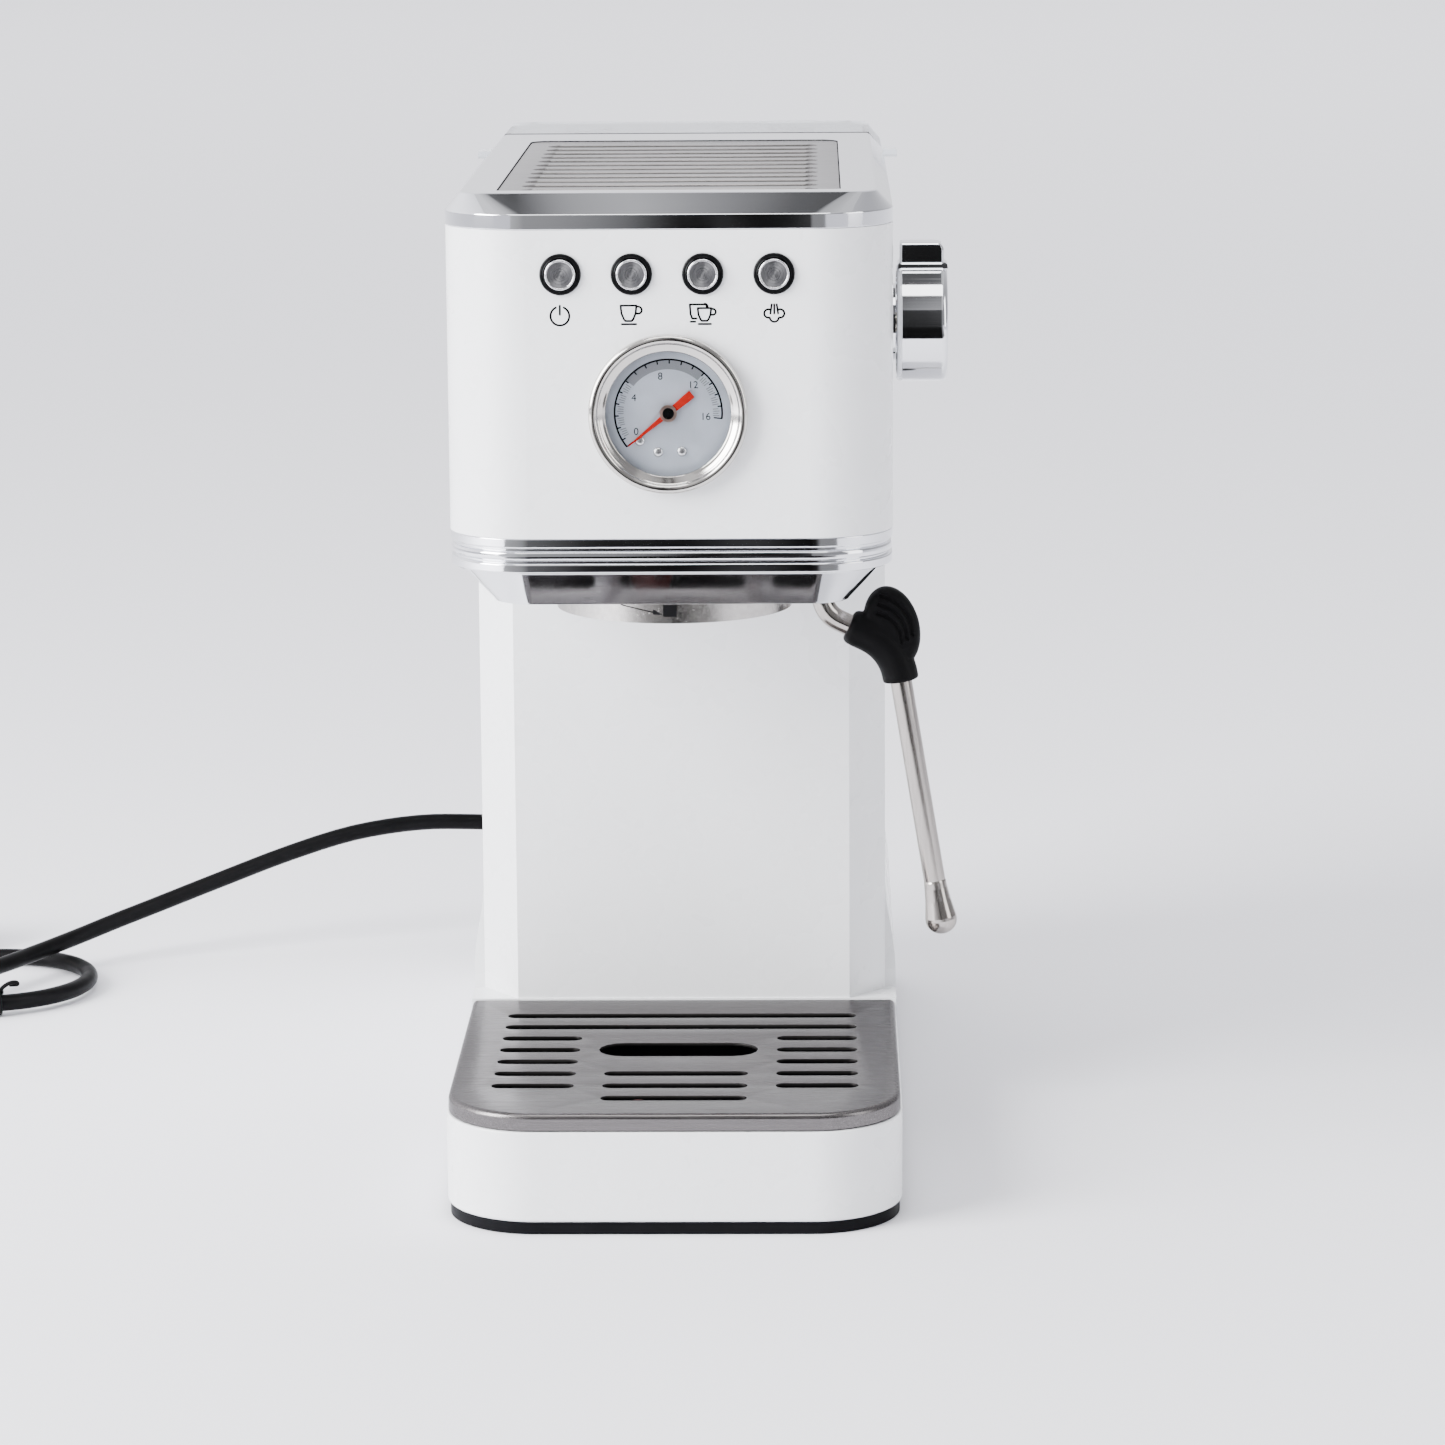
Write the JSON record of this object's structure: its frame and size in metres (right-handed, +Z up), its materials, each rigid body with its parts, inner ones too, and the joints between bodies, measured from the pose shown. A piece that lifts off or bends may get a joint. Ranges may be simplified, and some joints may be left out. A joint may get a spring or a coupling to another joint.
{
  "type": "espresso machine",
  "caption": "Slim white espresso machine with a slide-out drip tray, round pressure gauge, push buttons, steam knob, swivelling steam wand and lift-out water tank.",
  "frame": {"origin": "centre of the base footprint, on the standing surface", "axes": "+Z up, +Y towards the back (the front with the buttons and tray faces -Y), +X to the right as seen from the front"},
  "size_m": [0.4802, 0.3991, 0.3122],
  "materials": {
    "painted_shell": "warm white gloss",
    "chrome": "polished",
    "brushed_steel": "brushed",
    "polished_steel": "polished",
    "black_plastic": "fine grain",
    "black_rubber": "matte",
    "cord_black": "satin",
    "red_gasket": "matte",
    "float_red": "gloss",
    "needle_red": "satin",
    "hub_brass": "dark",
    "dial_face": "satin silver",
    "clear_glass": "clear",
    "clear_tank": "clear",
    "cast_aluminium": "as cast",
    "brass": "machined",
    "copper": "drawn",
    "hose_white": "translucent",
    "board_green": "satin",
    "pump_grey": "satin"
  },
  "bodies": {
    "machine": {"base_plate": "black_plastic", "feet": "black_rubber", "body_shell": "painted_shell", "rear_panel": "painted_shell", "head_shell": "painted_shell", "lower_trim": "chrome", "head_skirt": "chrome", "top_cover": "chrome", "cup_plate": "brushed_steel", "button_bezels": "black_plastic", "control_board": "board_green", "gauge_case": "black_plastic", "gauge_dial": "dial_face", "dial_screws": "polished_steel", "gauge_bezel": "chrome", "gauge_glass": "clear_glass", "group_collar": "brushed_steel", "group_gasket": "red_gasket", "brew_head": "cast_aluminium", "shower_screen": "polished_steel", "screen_screw": "polished_steel", "thermoblock": "cast_aluminium", "pump": "pump_grey", "pump_mounts": "black_rubber", "relief_valve": "brass", "tank_coupling": "black_plastic", "inlet_hose": "hose_white", "pressure_hose": "hose_white", "steam_pipe": "copper", "steam_valve": "brass", "valve_escutcheon": "chrome", "wand_socket": "brass", "base_screws": "polished_steel", "panel_screws": "polished_steel", "strain_relief": "cord_black", "power_cord": "cord_black", "cord_hank": "cord_black", "cord_tail": "cord_black", "plug_body": "cord_black", "plug_pins": "brass"},
    "drip_tray": {"drip_tray": "painted_shell"},
    "drip_grid": {"drip_grid": "brushed_steel"},
    "tray_float": {"tray_float": "float_red"},
    "power_button": {"power_button": "brushed_steel"},
    "one_cup_button": {"one_cup_button": "brushed_steel"},
    "two_cup_button": {"two_cup_button": "brushed_steel"},
    "steam_button": {"steam_button": "brushed_steel"},
    "gauge_needle": {"gauge_needle": "needle_red", "needle_hub": "hub_brass"},
    "steam_knob": {"steam_knob": "chrome", "valve_stem": "brass"},
    "steam_wand": {"wand_ball": "polished_steel", "wand_tube": "polished_steel", "wand_grip": "black_rubber", "wand_tip": "polished_steel"},
    "water_tank": {"water_tank": "clear_tank", "tank_valve": "black_plastic", "lid_pins": "polished_steel"},
    "tank_lid": {"tank_lid": "clear_tank"}
  },
  "joints": [
    {"name": "tray_slide", "type": "slide", "parent": "machine", "child": "drip_tray", "axis": [0, -1, 0], "range_m": [0, 0.15]},
    {"name": "grid_lift", "type": "slide", "parent": "drip_tray", "child": "drip_grid", "axis": [0, 0, 1], "range_m": [0, 0.05]},
    {"name": "float_rise", "type": "slide", "parent": "drip_tray", "child": "tray_float", "axis": [0, 0, 1], "range_m": [0, 0.012]},
    {"name": "power_button_press", "type": "slide", "parent": "machine", "child": "power_button", "axis": [0, 1, 0], "range_m": [0, 0.0012], "stiffness_N_per_m": 300, "springref_m": -0.0005},
    {"name": "one_cup_button_press", "type": "slide", "parent": "machine", "child": "one_cup_button", "axis": [0, 1, 0], "range_m": [0, 0.0012], "stiffness_N_per_m": 300, "springref_m": -0.0005},
    {"name": "two_cup_button_press", "type": "slide", "parent": "machine", "child": "two_cup_button", "axis": [0, 1, 0], "range_m": [0, 0.0012], "stiffness_N_per_m": 300, "springref_m": -0.0005},
    {"name": "steam_button_press", "type": "slide", "parent": "machine", "child": "steam_button", "axis": [0, 1, 0], "range_m": [0, 0.0012], "stiffness_N_per_m": 300, "springref_m": -0.0005},
    {"name": "needle_turn", "type": "hinge", "parent": "machine", "child": "gauge_needle", "pos_m": [0, -0.1394, 0.2471], "axis": [0, 1, 0], "range_deg": [0, 262], "stiffness_Nm_per_rad": 0.0005},
    {"name": "steam_knob_turn", "type": "hinge", "parent": "machine", "child": "steam_knob", "pos_m": [0.0767, -0.081, 0.2676], "axis": [1, 0, 0], "range_deg": [0, 270]},
    {"name": "wand_swivel", "type": "hinge", "parent": "machine", "child": "steam_wand", "pos_m": [0.0459, -0.078, 0.197], "axis": [0, 0, 1], "range_deg": [-95, 45]},
    {"name": "tank_lift", "type": "slide", "parent": "machine", "child": "water_tank", "axis": [0, 0, 1], "range_m": [0, 0.12]},
    {"name": "lid_hinge", "type": "hinge", "parent": "water_tank", "child": "tank_lid", "pos_m": [0, 0.1643, 0.306], "axis": [-1, 0, 0], "range_deg": [0, 100]}
  ]
}
